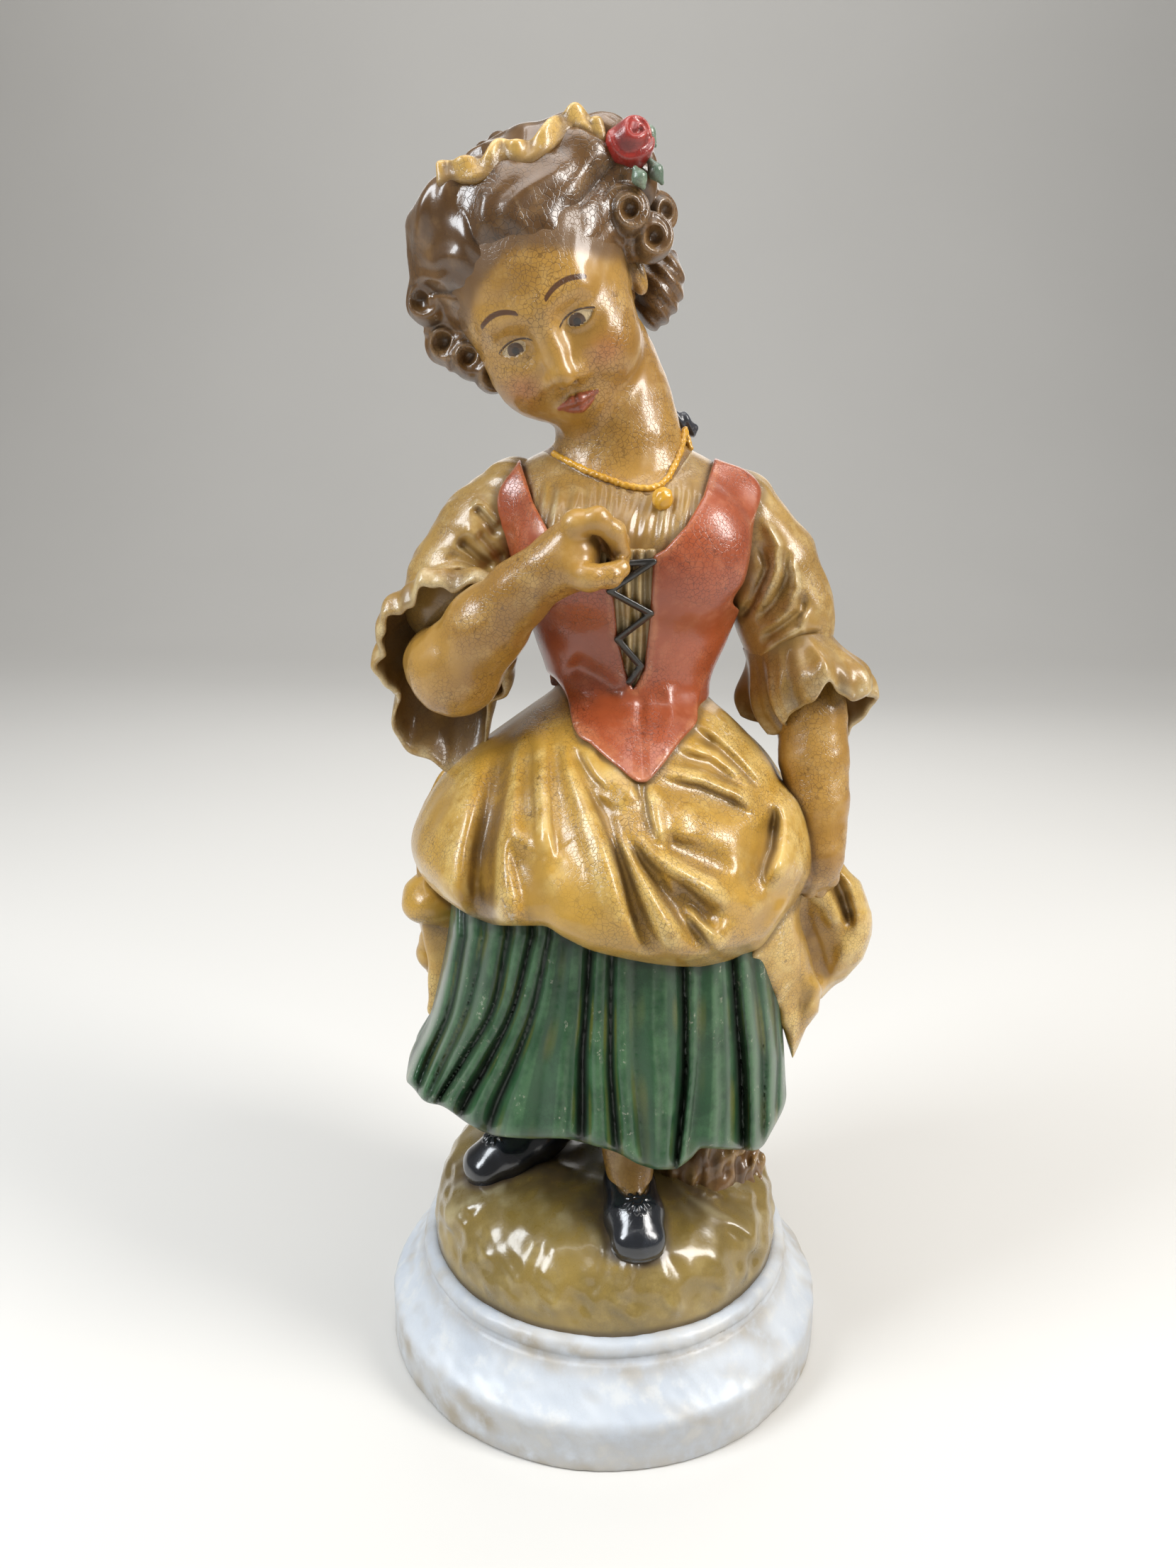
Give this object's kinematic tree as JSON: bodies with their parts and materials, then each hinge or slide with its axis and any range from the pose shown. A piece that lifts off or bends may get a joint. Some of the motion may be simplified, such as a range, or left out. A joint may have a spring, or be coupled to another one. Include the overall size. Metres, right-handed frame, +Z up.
{
  "type": "chalkware figure",
  "caption": "Painted plaster figure of a young woman in period dress with a laced bodice, gathered overskirt and pleated petticoat, standing on a round white plinth.",
  "frame": {"origin": "centre of the underside of the plinth, on the resting plane", "axes": "+Z up, the figure faces -Y, +X to the figure's left"},
  "size_m": [0.1677, 0.151, 0.394],
  "materials": {
    "chalk_white": "matte chalky white paint with ochre stains",
    "ground_ochre": "brushed olive and brown paint under old varnish",
    "rock_brown": "dark brown paint under old varnish",
    "shoe_black": "glossy blue-black paint",
    "flesh": "yellowed flesh paint under crackled varnish",
    "petticoat_green": "dark green paint under crackled varnish",
    "skirt_ochre": "golden ochre paint under crackled varnish",
    "bodice_coral": "coral paint under crackled varnish",
    "linen_tan": "tan linen colour under crackled varnish",
    "lace_black": "black paint line",
    "hair_brown": "brown paint with pale wear under varnish",
    "frill_cream": "cream paint under varnish",
    "rose_red": "red paint with pale wear",
    "leaf_green": "grey-green paint",
    "gold_paint": "golden yellow paint",
    "ribbon_dark": "dark blue-black paint",
    "dowel_iron": "bare iron pin"
  },
  "bodies": {
    "root": {"plinth": "chalk_white", "ground_mound": "ground_ochre", "rock_support": "rock_brown", "right_shoe": "shoe_black", "left_shoe": "shoe_black", "right_rosette": "shoe_black", "left_rosette": "shoe_black", "right_leg": "flesh", "left_leg": "flesh", "petticoat": "petticoat_green", "overskirt_front": "skirt_ochre", "overskirt_back": "skirt_ochre", "right_hip_puff": "skirt_ochre", "left_drape": "skirt_ochre", "bodice": "bodice_coral", "stomacher": "linen_tan", "bodice_lace": "lace_black", "chemise": "linen_tan", "right_sleeve": "linen_tan", "left_sleeve": "linen_tan", "right_flounce": "linen_tan", "left_flounce": "linen_tan", "right_forearm": "flesh", "left_forearm": "flesh", "head": "flesh", "right_hair": "hair_brown", "left_hair": "hair_brown", "hair_knot": "hair_brown", "hair_frill": "frill_cream", "rose": "rose_red", "rose_leaves": "leaf_green", "necklace": "gold_paint", "pendant": "gold_paint", "nape_bow": "ribbon_dark", "neck_dowel": "dowel_iron", "right_arm_dowel": "dowel_iron", "left_arm_dowel": "dowel_iron"}
  },
  "joints": []
}
